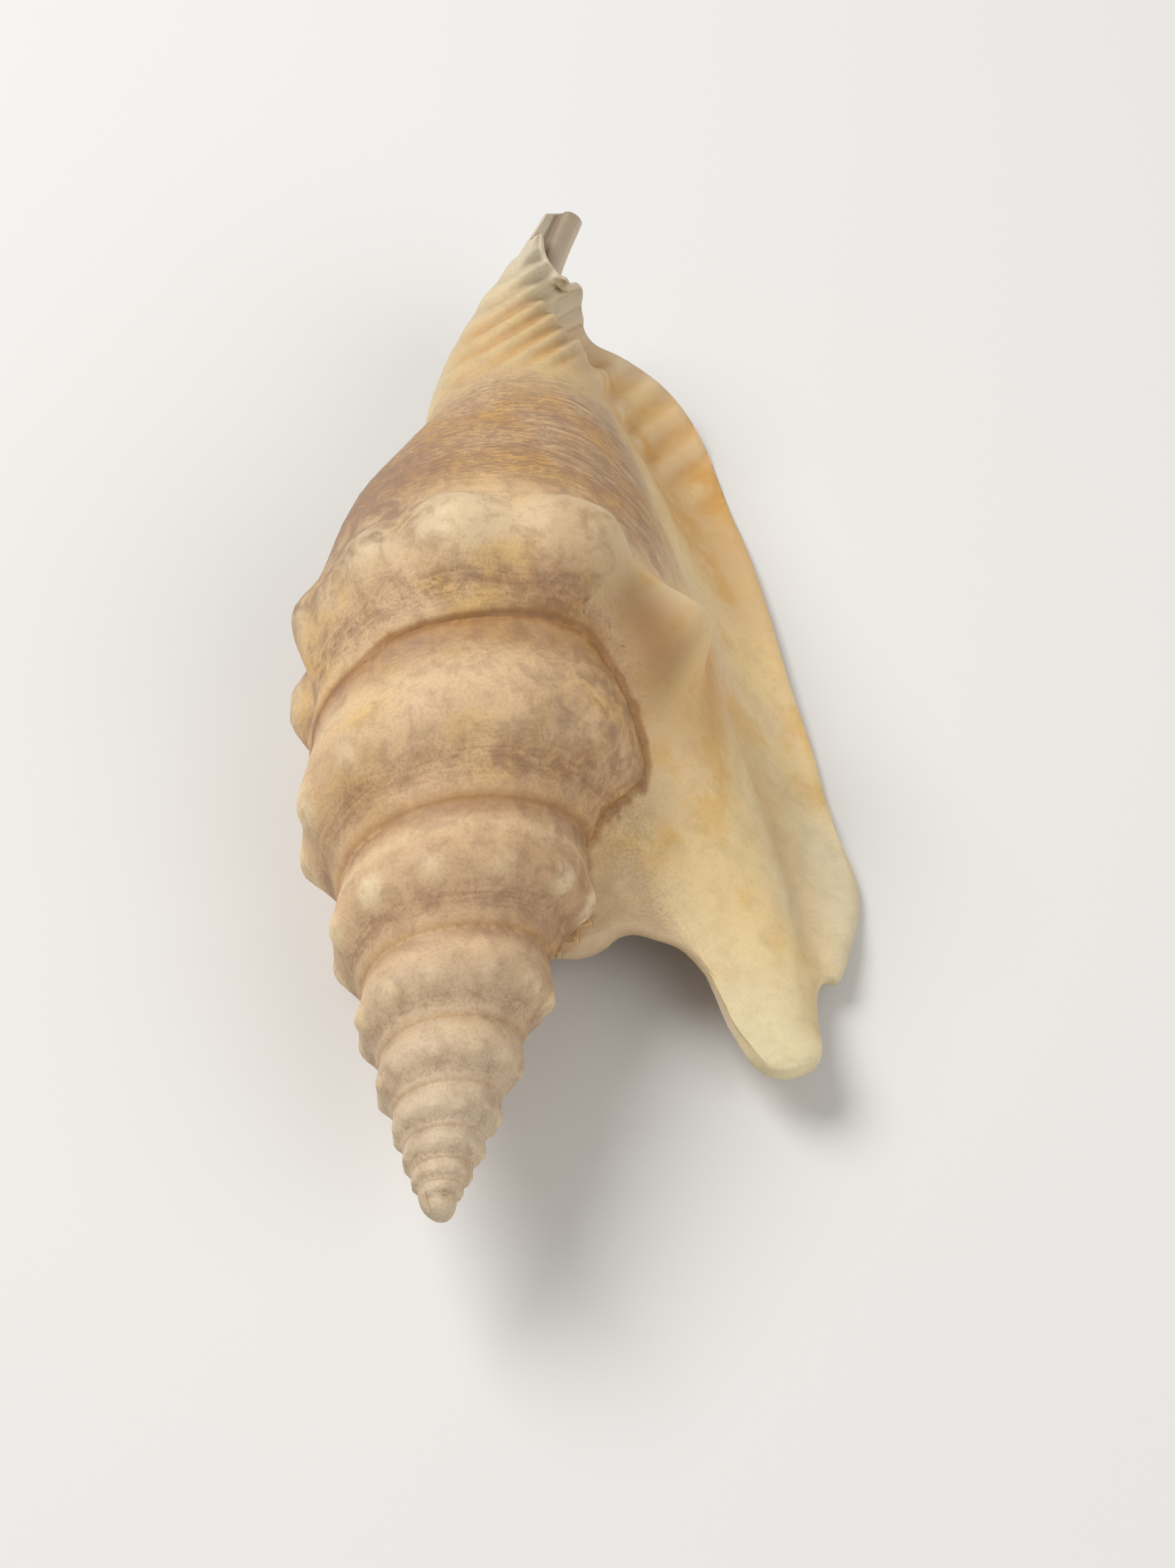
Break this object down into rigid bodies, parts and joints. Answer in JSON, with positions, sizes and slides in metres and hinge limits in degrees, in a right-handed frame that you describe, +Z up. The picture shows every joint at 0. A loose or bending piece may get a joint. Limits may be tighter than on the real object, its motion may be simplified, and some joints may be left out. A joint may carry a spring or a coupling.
{
  "type": "conch shell",
  "caption": "Winged conch shell lying dorsal side up: tall knobbed spire, body whorl with rounded knobs, wide flared lip with a finger-like rear lobe, ribbed upturned siphonal canal.",
  "frame": {"origin": "on the plane the shell lies on, under the middle of its bounding box", "axes": "+Z up, away from the surface; +Y along the coil axis from the apex of the spire to the siphonal canal; +X towards the flared lip"},
  "size_m": [0.0646, 0.1332, 0.041],
  "materials": {
    "shell": "matte to slightly satin calcareous shell, cream with brown and ochre mottling"
  },
  "bodies": {
    "root": {"conch_shell": "shell"}
  },
  "joints": []
}
